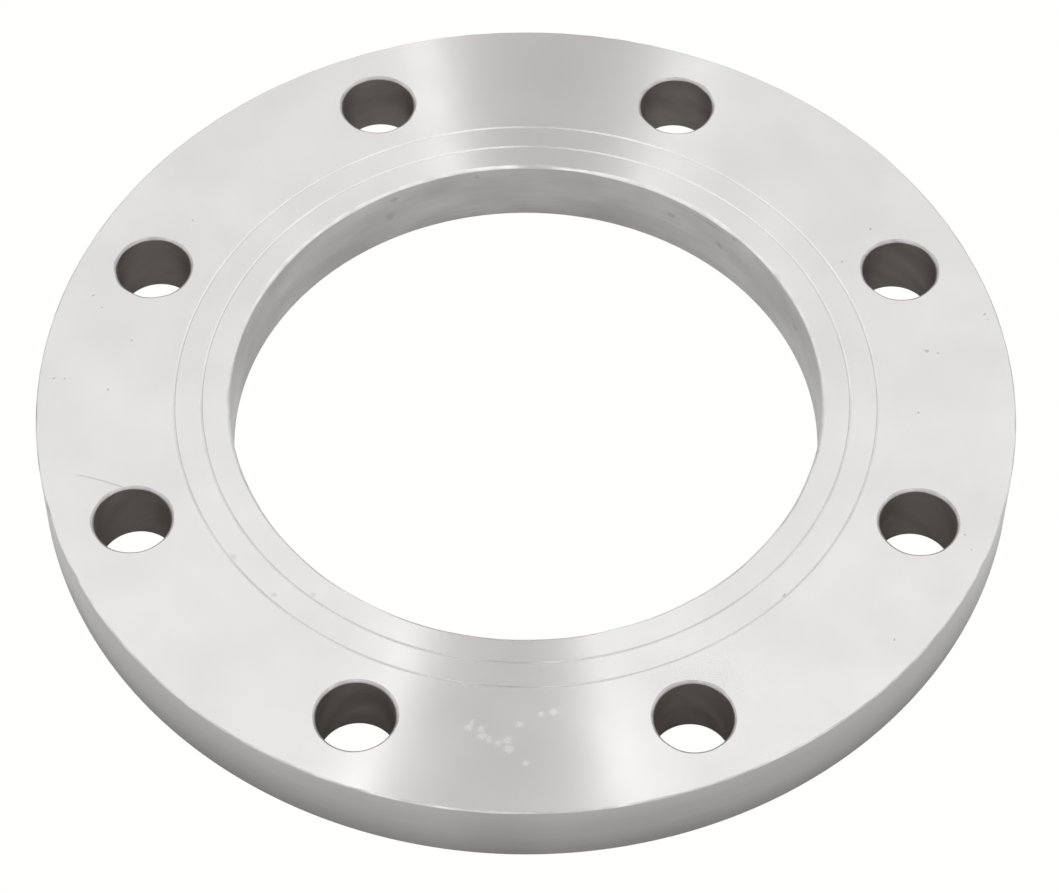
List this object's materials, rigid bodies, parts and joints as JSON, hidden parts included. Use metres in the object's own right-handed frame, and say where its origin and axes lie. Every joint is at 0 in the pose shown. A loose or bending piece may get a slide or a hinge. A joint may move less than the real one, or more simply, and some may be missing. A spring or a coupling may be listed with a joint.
{
  "type": "plate weld flange",
  "caption": "Flat round steel flange that slides over a pipe end and is welded to it, with a ring of bolt holes and fine sealing lines round the bore.",
  "frame": {"origin": "centre of the bore on the back face, which is the face the flange lies on", "axes": "+Z along the bore axis, out of the sealing face; the X and Y axes pass midway between bolt holes"},
  "size_m": [0.283, 0.283, 0.022],
  "materials": {
    "stainless_steel": "turned all over, with fine circular tool marks; drilled holes; edges broken"
  },
  "bodies": {
    "root": {"flange": "stainless_steel"}
  },
  "joints": []
}
